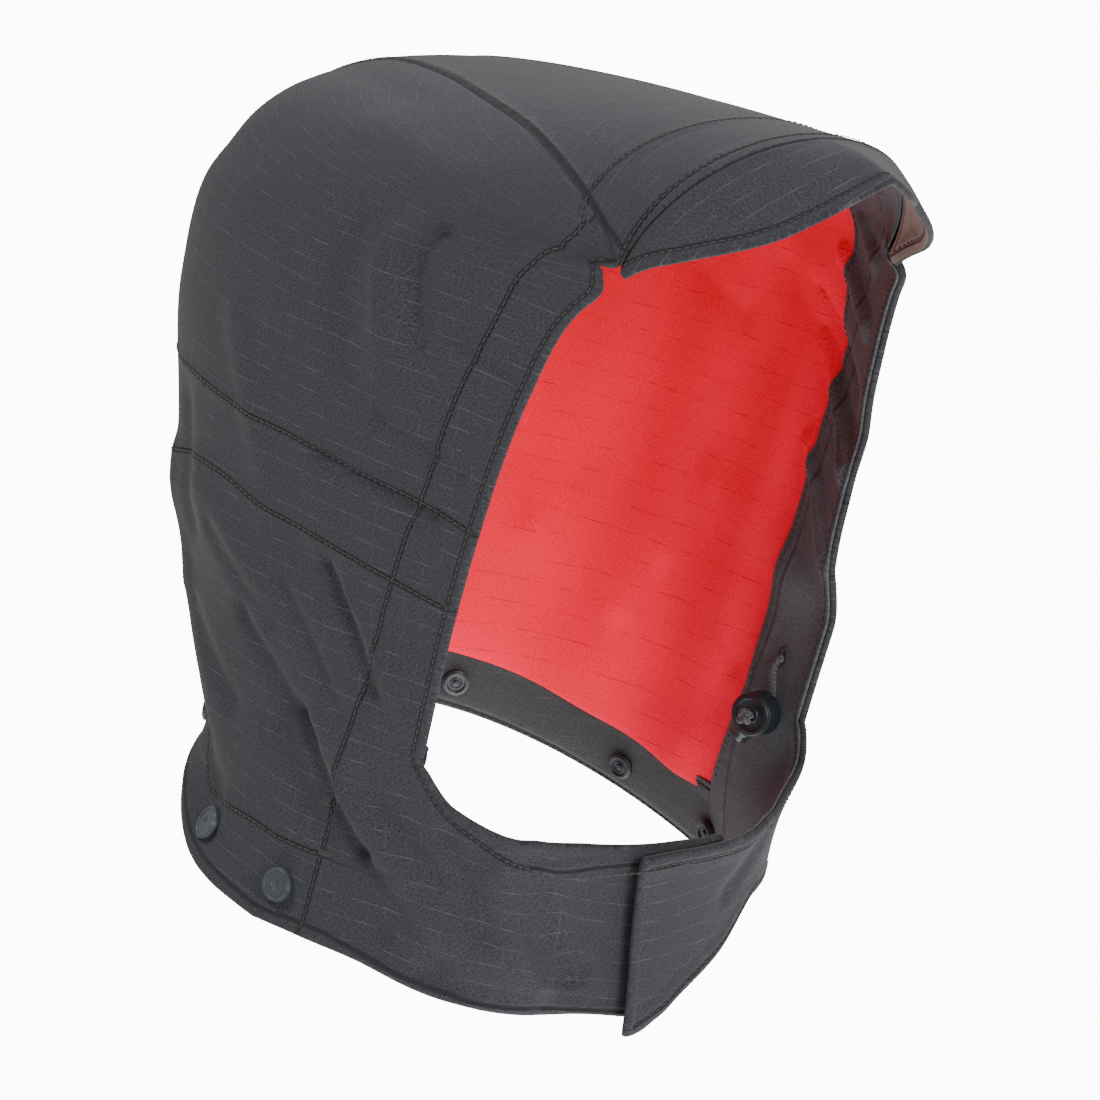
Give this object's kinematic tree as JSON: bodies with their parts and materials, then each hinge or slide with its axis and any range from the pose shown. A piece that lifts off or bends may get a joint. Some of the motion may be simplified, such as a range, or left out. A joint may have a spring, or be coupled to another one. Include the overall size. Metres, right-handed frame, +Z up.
{
  "type": "detachable hood",
  "caption": "Detachable jacket hood with a short peak, lined inside, with a face opening, overlapping chin band, snap row and a cord lock at each side.",
  "frame": {"origin": "where the top of the wearer's head bears on the lining, in the middle of the crown", "axes": "+Z up, -Y out through the face opening, +X to the wearer's left"},
  "size_m": [0.2169, 0.3093, 0.3326],
  "materials": {
    "slate_ripstop": "matte fine ripstop weave",
    "dark_facing": "matte plain weave",
    "red_ripstop": "thin ripstop weave, slight sheen",
    "snap_plastic": "smooth moulded plastic",
    "elastic_cord": "ribbed braided elastic",
    "touch_and_close": "rough touch-and-close pile"
  },
  "bodies": {
    "hood": {"side_panel_right": "slate_ripstop", "side_panel_left": "slate_ripstop", "crown_panel": "slate_ripstop", "peak": "slate_ripstop", "lining_right": "red_ripstop", "lining_left": "red_ripstop", "lining_crown": "red_ripstop", "facing_right": "dark_facing", "facing_left": "dark_facing", "facing_brow": "dark_facing", "neck_band": "dark_facing", "chin_hook_patch": "touch_and_close", "chin_loop_patch": "touch_and_close", "snap_cap_1": "snap_plastic", "snap_socket_1": "snap_plastic", "snap_cap_2": "snap_plastic", "snap_socket_2": "snap_plastic", "snap_cap_3": "snap_plastic", "snap_socket_3": "snap_plastic", "snap_cap_4": "snap_plastic", "snap_socket_4": "snap_plastic", "snap_cap_5": "snap_plastic", "snap_socket_5": "snap_plastic", "snap_cap_6": "snap_plastic", "snap_socket_6": "snap_plastic", "snap_cap_7": "snap_plastic", "snap_socket_7": "snap_plastic", "cord_lock_left": "snap_plastic", "elastic_cord_left": "elastic_cord", "cord_knot_left": "elastic_cord", "cord_lock_right": "snap_plastic", "elastic_cord_right": "elastic_cord", "cord_knot_right": "elastic_cord"},
    "cord_lock_button": {"cord_lock_button_left": "snap_plastic"}
  },
  "joints": [
    {"name": "cord_lock_press", "type": "slide", "parent": "hood", "child": "cord_lock_button", "axis": [0.1461, -0.6323, 0.7609], "range_m": [0, 0.0024], "stiffness_N_per_m": 400, "springref_m": -0.002}
  ]
}
